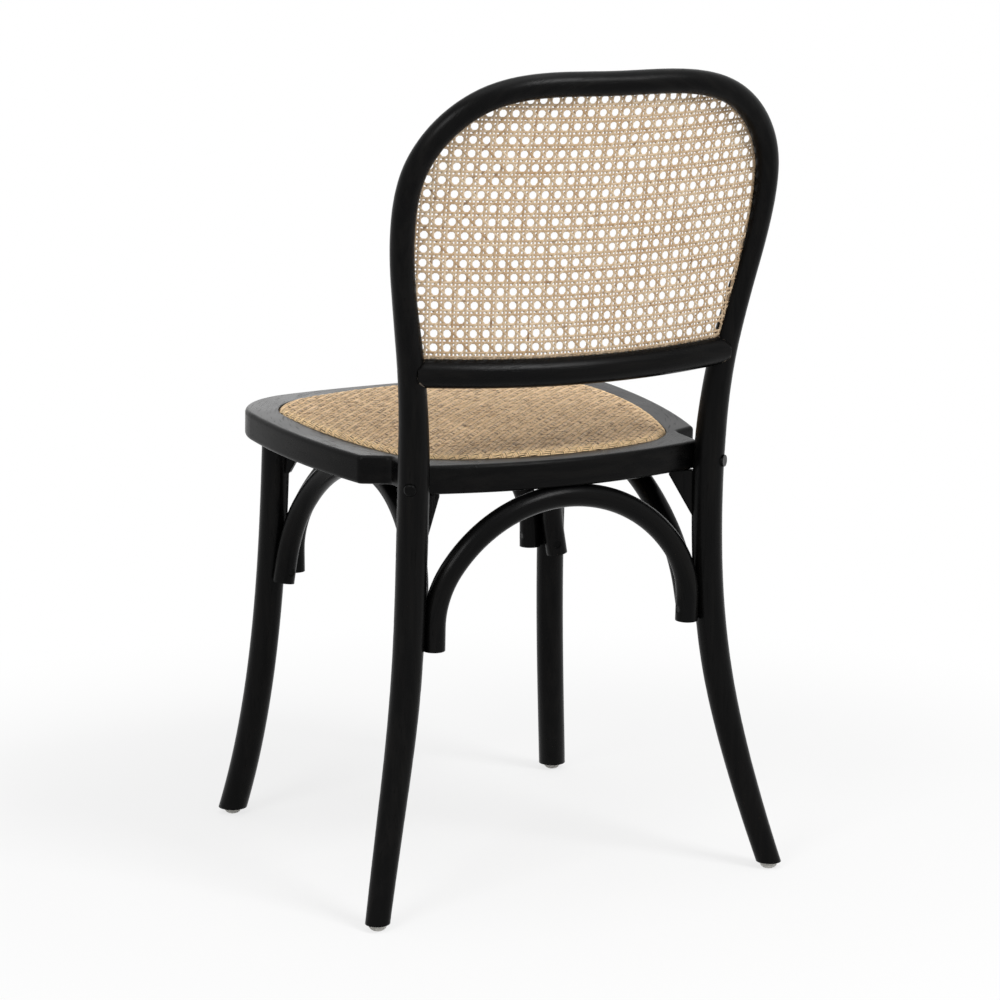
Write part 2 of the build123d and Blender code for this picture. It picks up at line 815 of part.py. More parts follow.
gusset_zone = gusset_drop + seat_thickness
for side, name in ((1, "left"), (-1, "right")):
    rear_top = bow_at(seat_under_height(bolt_leg.Y))
    rear_cutter = bow_length(rear_top.Z - gusset_zone, rear_top.Z + gusset_zone, side, fit_gap)
    rear_place = Vector(side * rear_top.X, rear_top.Y, rear_top.Z)
    rear_inward = Vector(-side * cos(radians(gusset_rear_turn)), -sin(radians(gusset_rear_turn)), 0)
    rear_gusset = gusset(rear_place, bow_radius(rear_top.Z), rear_inward, rear_cutter)
    save(rear_gusset, f"rear_gusset_{name}")
    front_top = front_leg_at(front_top_height)
    front_cutter = front_leg_length(
        front_top.Z - gusset_zone, front_top.Z + gusset_zone, side, fit_gap
    )
    front_place = Vector(side * front_top.X, front_top.Y, front_top.Z)
    front_inward = Vector(-side * cos(radians(gusset_front_turn)), sin(radians(gusset_front_turn)), 0)
    front_gusset = gusset(front_place, front_leg_diameter / 2, front_inward, front_cutter)
    save(front_gusset, f"front_gusset_{name}")

# Bolts, with the threaded sleeves they turn into
with BuildPart() as rear_leg_bolts:
    for bolt in bolts:
        with BuildSketch(bolt):
            Circle(bolt_diameter / 2)
        extrude(amount=-bolt_reach)
        with BuildSketch(bolt):
            Circle(bolt_head_diameter / 2)
        extrude(amount=bolt_head_height)
    heads = rear_leg_bolts.edges().filter_by(GeomType.CIRCLE).group_by(SortBy.RADIUS)[-1]
    fillet(heads.group_by(Axis.Y)[-1], bolt_head_round)
save(rear_leg_bolts.part, "rear_leg_bolts")

rear_leg_nuts = bolt_holes(nut_diameter / 2, nut_start, nut_length) - bolt_holes(
    bolt_diameter / 2 + seat_gap / 2, 0, bolt_reach + seat_gap
)
save(rear_leg_nuts, "rear_leg_nuts")

# Glides under the legs, each held by a nail
with BuildPart() as glide_nails:
    for foot in feet.values():
        with BuildSketch(Plane.XY.offset(nail_head_level)):
            with Locations((foot.X, foot.Y)):
                Circle(nail_diameter / 2)
        extrude(amount=nail_length)
        with BuildSketch(Plane.XY.offset(nail_head_level)):
            with Locations((foot.X, foot.Y)):
                Circle(nail_head_diameter / 2)
        extrude(amount=-nail_head_height)
save(glide_nails.part, "glide_nails")

for name, foot in feet.items():
    with BuildPart() as glide:
        with BuildSketch(Plane(foot, x_dir=(1, 0, 0), z_dir=(0, -1, 0))):
            with BuildLine():
                low = (glide_flat / 2, 0)
                high = (glide_diameter / 2, glide_height / 2)
                Line((0, 0), low)
                RadiusArc(low, high, -glide_height)
                Line(high, (glide_diameter / 2, glide_height - seat_gap))
                Line((glide_diameter / 2, glide_height - seat_gap), (0, glide_height - seat_gap))
                Line((0, glide_height - seat_gap), (0, 0))
            make_face()
        revolve(axis=Axis(foot, (0, 0, 1)))
        with BuildSketch(Plane.XY.offset(nail_head_level + seat_gap / 2)):
            with Locations((foot.X, foot.Y)):
                Circle(nail_head_diameter / 2 + seat_gap / 2)
        extrude(amount=-nail_head_height - seat_gap, mode=Mode.SUBTRACT)
        add(nail_holes((name,)), mode=Mode.SUBTRACT)
    save(glide.part, f"{name}_glide")
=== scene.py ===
import json
import math

import bpy
import bmesh
import numpy as np
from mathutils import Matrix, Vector
from mathutils.geometry import convex_hull_2d


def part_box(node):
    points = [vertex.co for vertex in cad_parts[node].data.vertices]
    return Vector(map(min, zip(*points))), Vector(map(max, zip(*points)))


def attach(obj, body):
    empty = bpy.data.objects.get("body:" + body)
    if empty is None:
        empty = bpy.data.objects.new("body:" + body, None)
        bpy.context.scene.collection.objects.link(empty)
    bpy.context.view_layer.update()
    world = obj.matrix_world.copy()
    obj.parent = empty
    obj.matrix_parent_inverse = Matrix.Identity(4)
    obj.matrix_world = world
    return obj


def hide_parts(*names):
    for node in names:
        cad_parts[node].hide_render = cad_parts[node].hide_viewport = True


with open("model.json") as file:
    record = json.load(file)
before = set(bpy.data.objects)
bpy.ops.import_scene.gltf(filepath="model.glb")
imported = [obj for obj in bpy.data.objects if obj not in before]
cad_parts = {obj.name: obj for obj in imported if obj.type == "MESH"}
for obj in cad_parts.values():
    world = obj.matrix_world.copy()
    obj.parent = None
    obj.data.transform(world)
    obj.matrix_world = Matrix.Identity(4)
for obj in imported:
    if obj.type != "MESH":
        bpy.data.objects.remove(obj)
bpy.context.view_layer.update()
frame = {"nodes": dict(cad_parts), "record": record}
nodes = frame["nodes"]
rng = np.random.default_rng(31)
print("frame loaded:", len(nodes), "nodes")


# Shader helpers

def newShader(name):
    material = bpy.data.materials.new(name)
    material.use_nodes = True
    tree = material.node_tree
    shader = tree.nodes["Principled BSDF"]
    return material, tree, shader


def plug(tree, value, socket):
    if isinstance(value, bpy.types.NodeSocket):
        tree.links.new(value, socket)
    else:
        socket.default_value = value


def calc(tree, operation, first, second=0.0, third=0.0):
    node = tree.nodes.new("ShaderNodeMath")
    node.operation = operation
    for value, socket in zip((first, second, third), node.inputs):
        plug(tree, value, socket)
    return node.outputs[0]


def lengthOf(tree, first, second):
    squares = [calc(tree, "MULTIPLY", side, side) for side in (first, second)]
    return calc(tree, "SQRT", calc(tree, "ADD", *squares))


def blendColour(tree, factor, first, second, mode="MIX"):
    node = tree.nodes.new("ShaderNodeMix")
    node.data_type = "RGBA"
    node.blend_type = mode
    plug(tree, factor, node.inputs["Factor"])
    plug(tree, first, node.inputs["A"])
    plug(tree, second, node.inputs["B"])
    return node.outputs["Result"]


def ramp(tree, value, low, high, start=0.0, end=1.0):
    node = tree.nodes.new("ShaderNodeMapRange")
    node.interpolation_type = "SMOOTHSTEP"
    plug(tree, value, node.inputs["Value"])
    node.inputs["From Min"].default_value = start
    node.inputs["From Max"].default_value = end
    node.inputs["To Min"].default_value = low
    node.inputs["To Max"].default_value = high
    return node.outputs["Result"]


def noise(tree, vector, scale, detail=2.0, rough=0.5):
    node = tree.nodes.new("ShaderNodeTexNoise")
    plug(tree, vector, node.inputs["Vector"])
    node.inputs["Scale"].default_value = scale
    node.inputs["Detail"].default_value = detail
    node.inputs["Roughness"].default_value = rough
    return node.outputs["Fac"]


def bump(tree, height, strength, distance, soften=0.0):
    node = tree.nodes.new("ShaderNodeBump")
    node.inputs["Strength"].default_value = strength
    node.inputs["Distance"].default_value = distance
    tree.links.new(height, node.inputs["Height"])
    if soften:
        edge = tree.nodes.new("ShaderNodeBevel")
        edge.samples = 4
        edge.inputs["Radius"].default_value = soften
        tree.links.new(edge.outputs["Normal"], node.inputs["Normal"])
    return node.outputs["Normal"]


def stretched(tree, vector, scale):
    node = tree.nodes.new("ShaderNodeVectorMath")
    node.operation = "MULTIPLY"
    plug(tree, vector, node.inputs[0])
    node.inputs[1].default_value = scale
    return node.outputs[0]


def objectPlace(tree):
    place = tree.nodes.new("ShaderNodeTexCoord").outputs["Object"]
    split = tree.nodes.new("ShaderNodeSeparateXYZ")
    tree.links.new(place, split.inputs[0])
    return split.outputs


def vectorOf(tree, x, y, z):
    node = tree.nodes.new("ShaderNodeCombineXYZ")
    for value, socket in zip((x, y, z), node.inputs):
        plug(tree, value, socket)
    return node.outputs[0]


# Black stained elm. The grain runs along each piece: straight, round a bend, or round the seat.

elm = {
    "stain": (0.0016, 0.0016, 0.0017, 1),
    "raised": (0.0045, 0.0042, 0.0040, 1),
    "pore": (0.0008, 0.0008, 0.0008, 1),
    "bare": (0.24, 0.20, 0.16, 1),
    "rough": (0.235, 0.315),
    "specular": 0.07,
    "softEdge": 0.003,
    "wornReach": (0.0142, 0.0148),
    "wornScale": 130.0,
    "wornSpread": (0.45, 0.6),
    "ringScale": (120, 120, 5),
    "ringSpread": (0.35, 0.72),
    "poreScale": (620, 620, 26),
    "poreSpread": (0.56, 0.7),
    "poreRough": 0.12,
    "patchScale": 9.0,
    "bump": (0.22, 0.00025),
}


def straightGrain(axis):
    def build(tree):
        x, y, z = objectPlace(tree)
        order = {"x": (y, z, x), "y": (x, z, y), "z": (x, y, z)}[axis]
        return vectorOf(tree, *order)
    return build


def bentGrain(axis, centre, spring, radius):
    # up one leg, round the bend and down the other leg
    def build(tree):
        x, y, z = objectPlace(tree)
        side, other = (x, y) if axis == "x" else (y, x)
        side = calc(tree, "SUBTRACT", side, centre)
        rise = calc(tree, "MAXIMUM", calc(tree, "SUBTRACT", z, spring), 0.0)
        below = calc(tree, "MAXIMUM", calc(tree, "SUBTRACT", spring, z), 0.0)
        turn = calc(tree, "ARCTAN2", rise, side)
        reach = lengthOf(tree, rise, side)
        leg = calc(tree, "MULTIPLY", calc(tree, "SIGN", side), below)
        along = calc(tree, "SUBTRACT", calc(tree, "MULTIPLY", turn, radius), leg)
        return vectorOf(tree, reach, other, along)
    return build


def roundGrain(centre, radius):
    def build(tree):
        x, y, z = objectPlace(tree)
        y = calc(tree, "SUBTRACT", y, centre)
        turn = calc(tree, "ARCTAN2", y, x)
        reach = lengthOf(tree, x, y)
        return vectorOf(tree, reach, z, calc(tree, "MULTIPLY", turn, radius))
    return build


def wornCope(tree):
    # bare wood shows in places along the edge where the rail's ends meet the posts
    x, y, z = objectPlace(tree)
    half, postY = cane["post"][:2]
    aside = calc(tree, "SUBTRACT", calc(tree, "ABSOLUTE", x), half)
    behind = calc(tree, "SUBTRACT", y, postY)
    atEdge = ramp(tree, lengthOf(tree, aside, behind), 1.0, 0.0, *elm["wornReach"])
    patches = noise(tree, vectorOf(tree, x, y, z), elm["wornScale"], 2.0)
    return calc(tree, "MULTIPLY", atEdge, ramp(tree, patches, 0.0, 1.0, *elm["wornSpread"]))


def blackElm(name, grain, worn=None):
    material, tree, shader = newShader(name)
    vector = grain(tree)
    rings = noise(tree, stretched(tree, vector, elm["ringScale"]), 1.0, 3.0, 0.55)
    pores = noise(tree, stretched(tree, vector, elm["poreScale"]), 1.0, 2.0, 0.6)
    patches = noise(tree, vector, elm["patchScale"], 2.0)
    poreMask = ramp(tree, pores, 0.0, 1.0, *elm["poreSpread"])
    ringMask = ramp(tree, rings, 0.0, 1.0, *elm["ringSpread"])
    tone = blendColour(tree, ringMask, elm["stain"], elm["raised"])
    tone = blendColour(tree, poreMask, tone, elm["pore"])
    if worn:
        tone = blendColour(tree, worn(tree), tone, elm["bare"])
    tree.links.new(tone, shader.inputs["Base Color"])
    satin = ramp(tree, patches, *elm["rough"], 0.3, 0.7)
    shine = calc(tree, "ADD", satin, calc(tree, "MULTIPLY", poreMask, elm["poreRough"]))
    tree.links.new(shine, shader.inputs["Roughness"])
    shader.inputs["Specular IOR Level"].default_value = elm["specular"]
    height = calc(tree, "SUBTRACT", calc(tree, "MULTIPLY", rings, 0.5), poreMask)
    tree.links.new(bump(tree, height, *elm["bump"], elm["softEdge"]), shader.inputs["Normal"])
    return material


# Woven strands: closed flat tubes that carry their run, their tone and a painted light value:
# painted shade where they dive, painted highlight on the seat's edge, random darkening of floats

def addStrands(name, strands, section, material):
    outline = np.array(section)
    ring = len(outline)
    verts, faces, alongs, tones, paintedLightLists = [], [], [], [], []
    base = 0
    for strand in strands:
        centre, up = strand["centre"], strand["up"]
        count = len(centre)
        ahead = np.gradient(centre, axis=0)
        ahead /= np.linalg.norm(ahead, axis=1)[:, None]
        across = np.cross(up, ahead)
        across /= np.linalg.norm(across, axis=1)[:, None]
        up = np.cross(ahead, across)
        wide = (outline[:, 0] * strand["width"])[None, :, None]
        tall = (outline[:, 1] * strand["thick"])[None, :, None]
        shape = centre[:, None, :] + across[:, None, :] * wide + up[:, None, :] * tall
        verts.append(shape.reshape(-1, 3))
        steps = np.linalg.norm(np.diff(centre, axis=0), axis=1)
        along = np.concatenate([[0.0], np.cumsum(steps)])
        alongs.append(np.repeat(along, ring))
        tones.append(np.full(count * ring, strand["tone"]))
        paintedLightLists.append(np.repeat(strand["paintedLightAndTone"], ring))
        row = np.arange(count - 1)[:, None] * ring + base
        here = np.arange(ring)[None, :]
        after = (here + 1) % ring
        quads = np.stack([row + here, row + after, row + ring + after, row + ring + here], axis=-1)
        faces.extend(quads.reshape(-1, 4).tolist())
        faces.append([base + k for k in reversed(range(ring))])
        faces.append([base + (count - 1) * ring + k for k in range(ring)])
        base += count * ring
    mesh = bpy.data.meshes.new(name)
    mesh.from_pydata(np.concatenate(verts).tolist(), [], faces)
    for label, values in (("along", alongs), ("tone", tones), ("paintedLightAndTone", paintedLightLists)):
        layer = mesh.attributes.new(label, "FLOAT", "POINT")
        layer.data.foreach_set("value", np.concatenate(values).astype(np.float32))
    mesh.shade_smooth()
    mesh.materials.append(material)
    piece = bpy.data.objects.new(name, mesh)
    bpy.context.scene.collection.objects.link(piece)
    print(name, "strands:", len(strands), "verts:", base)
    return piece


def carried(tree, label):
    node = tree.nodes.new("ShaderNodeAttribute")
    node.attribute_name = label
    return node.outputs["Fac"]


def strandShader(name, look):
    material, tree, shader = newShader(name)
    along, tone, paintedLightAndTone = [carried(tree, label) for label in ("along", "tone", "paintedLightAndTone")]
    x, y, z = objectPlace(tree)
    place = vectorOf(tree, x, y, z)
    key = calc(tree, "MULTIPLY", tone, 300.0)  # sets each strand's marks apart

    def marks(scale, layer, rough):
        run = calc(tree, "MULTIPLY", along, scale)
        return noise(tree, vectorOf(tree, key, run, layer), 1.0, 2.0, rough)

    flecks = marks(look["fleckScale"], 0.0, 0.6)
    drift = ramp(tree, marks(look["driftScale"], 5.0, 0.5), -0.25, 0.65, 0.25, 0.75)
    fibres = noise(tree, place, look["fibreScale"], 3.0, 0.6)
    mixed = calc(tree, "ADD", calc(tree, "MULTIPLY", tone, 0.6), drift)
    shade = blendColour(tree, calc(tree, "MAXIMUM", mixed, 0.0), look["pale"], look["deep"])
    layers = (
        (ramp(tree, fibres, 0.0, look["fibreDepth"], 0.45, 0.75), look["deep"]),
        (ramp(tree, flecks, 0.0, look["fleckDepth"], 0.6, 0.75), look["fleckAndShade"]),
        # painted shade where strands dive under others, in the fleck colour, then a painted
        # highlight where seat strips bend over the edge
        (ramp(tree, paintedLightAndTone, 0.0, look["paintedShadeDepth"], 0.05, 0.6), look["fleckAndShade"]),
        (ramp(tree, paintedLightAndTone, 0.9, 0.0, -0.45, -0.02), look["bent"]),
    )
    for share, colour in layers:
        shade = blendColour(tree, share, shade, colour)
    tree.links.new(shade, shader.inputs["Base Color"])
    tree.links.new(ramp(tree, fibres, *look["rough"], 0.3, 0.7), shader.inputs["Roughness"])
    shader.inputs["Specular IOR Level"].default_value = look["specular"]
    shader.inputs["Sheen Weight"].default_value = look["sheen"]
    tree.links.new(bump(tree, fibres, 0.3, 0.0002), shader.inputs["Normal"])
    return material


def hullOf(flat, apart=0.0015):
    # the convex outline of flat points, without points that lie close together
    corners = [np.array(flat[k]) for k in convex_hull_2d(flat)]
    kept = [corners[0]]
    for corner in corners[1:]:
        if min(np.linalg.norm(corner - kept[-1]), np.linalg.norm(corner - kept[0])) > apart:
            kept.append(corner)
    return np.array(kept)


def nearOutline(points, outline):
    # foot on the outline, outward direction and depth inside it, for every point
    ends = np.roll(outline, -1, axis=0)
    edges = ends - outline
    lengths = np.linalg.norm(edges, axis=1)
    outward = np.stack([edges[:, 1], -edges[:, 0]], axis=1) / lengths[:, None]
    turn = np.sum(outline[:, 0] * ends[:, 1] - ends[:, 0] * outline[:, 1])
    if turn < 0:
        outward = -outward
    feet, ways, depths = [], [], []
    for block in np.array_split(points, max(1, len(points) // 4000)):
        apart = block[:, None, :] - outline[None, :, :]
        share = np.clip(np.sum(apart * edges[None], axis=2) / lengths[None] ** 2, 0, 1)
        foot = outline[None] + share[:, :, None] * edges[None]
        gap = np.linalg.norm(block[:, None, :] - foot, axis=2)
        best = np.argmin(gap, axis=1)
        pick = np.arange(len(block))
        outside = np.max(np.sum(apart * outward[None], axis=2), axis=1) > 0
        feet.append(foot[pick, best])
        ways.append(outward[best])
        depths.append(np.where(outside, -gap[pick, best], gap[pick, best]))
    return np.concatenate(feet), np.concatenate(ways), np.concatenate(depths)


# The cane back: six-way weave on the curve of the back

cane = {
    "post": (0.180, 0.17178, 0.564),
    "radius": 0.640,
    "tilt": math.radians(12.9),
    "across": (-0.0027, 0.01309, 0.00049, -0.000043),
    "upward": (0.1439, 0.014265, -0.000041),
    "uprightHalf": 0.00185,
    "uprightWidth": 0.0023,
    "levelHalf": 0.00205,
    "levelWidth": 0.00245,
    "thick": 0.0006,
    "lift": 0.00038,
    "slantWidth": 0.0021,
    "slantLift": 0.00095,
    "tuck": 0.0004,
    "stray": 0.00014,
    "pairs": 20,
    "slants": 36,
    "slantMarks": 160,
    "section": [(0.5, 0.0), (0.33, 0.42), (0.0, 0.5), (-0.33, 0.42), (-0.5, 0.0), (0.0, -0.5)],
}
caneLook = {
    "pale": (0.74, 0.59, 0.415, 1),
    "deep": (0.46, 0.30, 0.16, 1),
    # also the colour of the painted shade where strands dive under
    "fleckAndShade": (0.16, 0.08, 0.03, 1),
    # colour of the painted highlight on a bent edge, the same as pale here
    "bent": (0.75, 0.60, 0.42, 1),
    "fleckScale": 60.0,
    "fleckDepth": 0.75,
    "driftScale": 14.0,
    # strength of the painted shade where strands dive under
    "paintedShadeDepth": 0.5,
    "sheen": 0.05,
    "fibreScale": 900.0,
    "fibreDepth": 0.5,
    "rough": (0.42, 0.62),
    "specular": 0.35,
}


def caneFrame():
    rearward = np.array([0.0, math.cos(cane["tilt"]), -math.sin(cane["tilt"])])
    upward = np.array([0.0, math.sin(cane["tilt"]), math.cos(cane["tilt"])])
    half, postY, postZ = cane["post"]
    bulge = cane["radius"] - math.sqrt(cane["radius"] ** 2 - half ** 2)
    origin = np.array([0.0, postY, postZ]) + rearward * bulge
    return origin, rearward, upward


def onCane(flat, lift):
    origin, rearward, upward = caneFrame()
    swing = np.arcsin(flat[:, 0] / cane["radius"])
    radial = np.sin(swing)[:, None] * np.array([1.0, 0, 0]) + np.cos(swing)[:, None] * rearward
    place = origin - cane["radius"] * rearward + radial * (cane["radius"] + lift)[:, None]
    return place + flat[:, 1][:, None] * upward, radial


def caneOutline():
    origin, _, upward = caneFrame()
    corners = [Vector(v.co) for v in nodes["cane_panel"].data.vertices]
    flat = [(c.x, float(np.dot(np.array(c) - origin, upward))) for c in corners]
    return hullOf(flat)


def caneStrand(columns, rows, lift, outline, width):
    # a strand through places counted in holes; the rows drift a little, as in the real sheet
    start, pitch, lean, bow = cane["across"]
    base, rise, squeeze = cane["upward"]
    columns, rows = np.broadcast_arrays(columns, rows)
    flat = np.stack([
        start + pitch * columns + lean * rows + bow * rows ** 2,
        base + rise * rows + squeeze * rows ** 2,
    ], axis=1)
    ahead = np.gradient(flat, axis=0)
    aside = np.stack([-ahead[:, 1], ahead[:, 0]], axis=1) / np.linalg.norm(ahead, axis=1)[:, None]
    travel = np.arange(len(flat)) * rng.uniform(0.15, 0.35) + rng.uniform(0, 6.28)
    flat = flat + aside * (cane["stray"] * np.sin(travel))[:, None]
    depth = nearOutline(flat, outline)[2] - cane["tuck"]
    inside = np.flatnonzero(depth > 0)
    if len(inside) < 3 or inside[0] == 0 or inside[-1] == len(flat) - 1:
        return None
    ends = []
    for last, beyond in ((inside[0], inside[0] - 1), (inside[-1], inside[-1] + 1)):
        share = depth[last] / (depth[last] - depth[beyond])
        ends.append(flat[last] + (flat[beyond] - flat[last]) * share)
    flat = np.concatenate([[ends[0]], flat[inside[0]:inside[-1] + 1], [ends[1]]])
    lift = np.concatenate([[0.0], lift[inside[0]:inside[-1] + 1], [0.0]])
    centre, up = onCane(flat, lift)
    return {
        "centre": centre,
        "up": up,
        "width": width * rng.uniform(0.92, 1.06),
        "thick": cane["thick"],
        "tone": float(np.clip(rng.normal(0.42, 0.2), 0, 1)),
        # painted shade: the strand is painted darker where it dives under a crossing strand
        "paintedLightAndTone": np.clip(-lift / cane["slantLift"], 0, 1),
    }


def pairStations(count, half, firstLift):
    # crossings of one strand with both strands of every pair, and a level point between pairs
    at, lift = [], []
    for line in range(-count, count + 1):
        at += [line + 0.5 - half, line + 0.5 + half, line + 1.0]
        lift += [firstLift, -firstLift, 0.0]
    return np.array(at), np.array(lift)


def makeCane():
    outline = caneOutline()
    uprightHalf = cane["uprightHalf"] / cane["across"][1]
    levelHalf = cane["levelHalf"] / cane["upward"][1]
    strands = []
    pairs, slants, count = cane["pairs"], cane["slants"], cane["slantMarks"]
    for line in range(-pairs, pairs + 1):
        for side in (-1, 1):
            at, lift = pairStations(pairs, levelHalf, -side * cane["lift"])
            column = line + 0.5 + side * uprightHalf
            strands.append(caneStrand(column, at, lift, outline, cane["uprightWidth"]))
            at, lift = pairStations(pairs, uprightHalf, side * cane["lift"])
            row = line + 0.5 + side * levelHalf
            strands.append(caneStrand(at, row, lift, outline, cane["levelWidth"]))
    marks = np.arange(-count, count + 1) / 2
    swing = np.where(np.mod(marks, 2) == 0, 1.0, np.where(np.mod(marks, 2) == 1, -1.0, 0.0))
    for side in (-1, 1):
        for step in range(-slants, slants + 1):
            # each slanted strand crosses a pair of uprights midway between two level pairs
            columns, rows = step + 0.5 + marks / 2, side * marks / 2
            lift = side * cane["slantLift"] * swing
            strands.append(caneStrand(columns, rows, lift, outline, cane["slantWidth"]))
    strands = [strand for strand in strands if strand]
    piece = addStrands("cane_weave", strands, cane["section"], strandShader("cane", caneLook))
    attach(piece, "root")
    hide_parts("cane_panel")


makeCane()


# The seat: a crowned pad, and the fine twill that wraps it

seat = {
    "origin": (0.0, 0.172, 0.462),
    "slope": math.radians(2.9),
    "crownRadius": 3.0,
    "crownY": -0.209,
    "edge": 0.005,
    "skin": 0.0012,
    "drop": 0.008,
    "pitch": 0.00187,
    "width": 0.00178,
    "thick": 0.0008,
    "lift": 0.00055,
    "float": 4,
    "endShade": 0.30,
    "floatShade": 0.34,
    "edgeShade": 0.6,
    "edgeGlow": 0.42,
    "edgeBand": 0.013,
    "stray": 0.00022,
    "section": [(0.5, 0.0), (0.0, 0.5), (-0.5, 0.0), (0.0, -0.5)],
    "padInset": 0.0012,
    "padRings": 26,
    "padBottom": -0.0115,
}
rattanLook = {
    "pale": (0.84, 0.62, 0.385, 1),
    "deep": (0.54, 0.35, 0.175, 1),
    # also the colour of the painted shade where strips dive under
    "fleckAndShade": (0.10, 0.054, 0.024, 1),
    # colour of the painted highlight where strips bend over the edge
    "bent": (0.96, 0.70, 0.38, 1),
    "fleckScale": 90.0,
    "fleckDepth": 0.7,
    "driftScale": 30.0,
    # strength of the painted shade where strips dive under
    "paintedShadeDepth": 0.95,
    "sheen": 0.12,
    "fibreScale": 700.0,
    "fibreDepth": 0.5,
    "rough": (0.36, 0.55),
    "specular": 0.35,
}
padLook = {
    "dark": (0.05, 0.03, 0.015, 1),
    "light": (0.13, 0.08, 0.04, 1),
    "scale": 500.0,
    "rough": 0.9,
}
seatRight = np.array([1.0, 0.0, 0.0])
seatBack = np.array([0.0, math.cos(seat["slope"]), -math.sin(seat["slope"])])
seatUp = np.array([0.0, math.sin(seat["slope"]), math.cos(seat["slope"])])


def toSeat(points):
    apart = points - np.array(seat["origin"])
    return np.stack([apart @ seatRight, apart @ seatBack, apart @ seatUp], axis=1)


def fromSeat(local):
    axes = np.stack([seatRight, seatBack, seatUp])
    return np.array(seat["origin"]) + local @ axes


def padOutline():
    corners = toSeat(np.array([v.co for v in nodes["seat_weave"].data.vertices]))
    flat = [tuple(c) for c in corners[:, :2]]
    return hullOf(flat), corners[:, 2].max()


def onPad(flat, outline, top, inset):
    # a point of the unrolled cover, laid over the crown, round the edge and down the side
    foot, way, depth = nearOutline(flat, outline)
    radius = seat["edge"]
    depth = depth - inset
    past = radius - depth
    turn = np.clip(past / radius, 0.0, math.pi / 2)
    fall = np.maximum(past - radius * math.pi / 2, 0.0)
    within = inset + radius - radius * np.sin(turn)
    plan = np.where((past <= 0)[:, None], flat, foot - way * within[:, None])
    apart = plan - np.array([0.0, seat["crownY"]])
    ball = seat["crownRadius"]
    crown = top - inset - ball + np.sqrt(ball ** 2 - np.sum(apart ** 2, axis=1))
    height = crown - radius * (1 - np.cos(turn)) - fall
    normal = np.concatenate([way * np.sin(turn)[:, None], np.cos(turn)[:, None]], axis=1)
    return np.concatenate([plan, height[:, None]], axis=1), normal, past


def twillStrand(line, upright, outline, top, reach):
    pitch, span = seat["pitch"], 2 * seat["float"]
    steps = np.arange(int(reach[0] / pitch) - 1, int(reach[1] / pitch) + 2)
    ahead = line - steps if upright else steps - line
    over = (np.mod(ahead, span) < seat["float"]) == upright
    sign = np.where(over, 1.0, -1.0)
    at = np.stack([steps[:-1] + 0.25, steps[:-1] + 0.75], axis=1).reshape(-1)
    sign = np.stack([sign[:-1], sign[1:]], axis=1).reshape(-1)
    changes = np.repeat(sign[0::2] != sign[1::2], 2)
    # how far each place is from the middle of its float, from 0 to 1
    phase = np.mod((line - at if upright else at - line) + 0.5, seat["float"])
    off = np.abs(phase * 2 / seat["float"] - 1)
    middle = (off < 0.3) & (np.arange(len(at)) % 2 == 0)
    # no two floats are alike, and no strand runs quite straight
    floats = np.cumsum(np.concatenate([[0], np.diff(sign) != 0]).astype(int))
    odd = rng.uniform(0.0, 1.0, floats[-1] + 1)[floats]
    lift = seat["lift"] * sign * (0.9 + 0.8 * odd - 0.5 * off ** 2)
    # painted shade: floats are painted darker towards their ends, where they dive, and strands
    # lying under are painted fully shaded; a random darkening per float adds tone
    shade = seat["endShade"] * (0.3 + rng.uniform(0.0, 1.2, floats[-1] + 1)[floats])
    paintedLightAndTone = np.where(sign > 0, np.clip(shade * off ** 3 + seat["floatShade"] * odd ** 4, 0, 1), 1.0)
    travel = at * rng.uniform(0.05, 0.16) + rng.uniform(0, 6.28)
    fixed = line * pitch + seat["stray"] * np.sin(travel)
    flat = np.stack([fixed, at * pitch] if upright else [at * pitch, fixed], axis=1)
    local, normal, past = onPad(flat, outline, top, seat["skin"])
    # painted light: less painted shade where the strips bend over the edge, and a painted highlight
    # that makes them paler and more golden there
    paintedLightAndTone = np.where(past > 0, paintedLightAndTone * seat["edgeShade"], paintedLightAndTone)
    edgeLight = seat["edgeGlow"] * np.clip(1 + past / seat["edgeBand"], 0, 1) ** 1.5
    paintedLightAndTone = paintedLightAndTone - edgeLight * (1 - 2 * paintedLightAndTone)
    inside = past < seat["edge"] * math.pi / 2 + seat["drop"]
    keep = inside & (changes | middle | (past > 0))
    if keep.sum() < 4:
        return None
    local = local[keep] + normal[keep] * lift[keep][:, None]
    return {
        "centre": fromSeat(local),
        "up": normal[keep] @ np.stack([seatRight, seatBack, seatUp]),
        "width": seat["width"] * rng.uniform(0.92, 1.05),
        "thick": seat["thick"],
        "tone": float(np.clip(rng.normal(0.4, 0.26), 0, 1)),
        "paintedLightAndTone": paintedLightAndTone[keep],
    }


def makeTwill(outline, top):
    margin = seat["edge"] + seat["drop"]
    low, high = outline.min(axis=0) - margin, outline.max(axis=0) + margin
    strands = []
    for line in range(int(low[0] / seat["pitch"]), int(high[0] / seat["pitch"]) + 1):
        strands.append(twillStrand(line, True, outline, top, (low[1], high[1])))
    for line in range(int(low[1] / seat["pitch"]), int(high[1] / seat["pitch"]) + 1):
        strands.append(twillStrand(line, False, outline, top, (low[0], high[0])))
    strands = [strand for strand in strands if strand]
    piece = addStrands("seat_twill", strands, seat["section"], strandShader("rattan", rattanLook))
    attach(piece, "root")
    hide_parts("seat_weave")


def padShader():
    material, tree, shader = newShader("pad_cover")
    x, y, z = objectPlace(tree)
    grain = noise(tree, vectorOf(tree, x, y, z), padLook["scale"], 3.0)
    tone = blendColour(tree, grain, padLook["dark"], padLook["light"])
    tree.links.new(tone, shader.inputs["Base Color"])
    shader.inputs["Roughness"].default_value = padLook["rough"]
    tree.links.new(bump(tree, grain, 0.3, 0.0003), shader.inputs["Normal"])
    return material


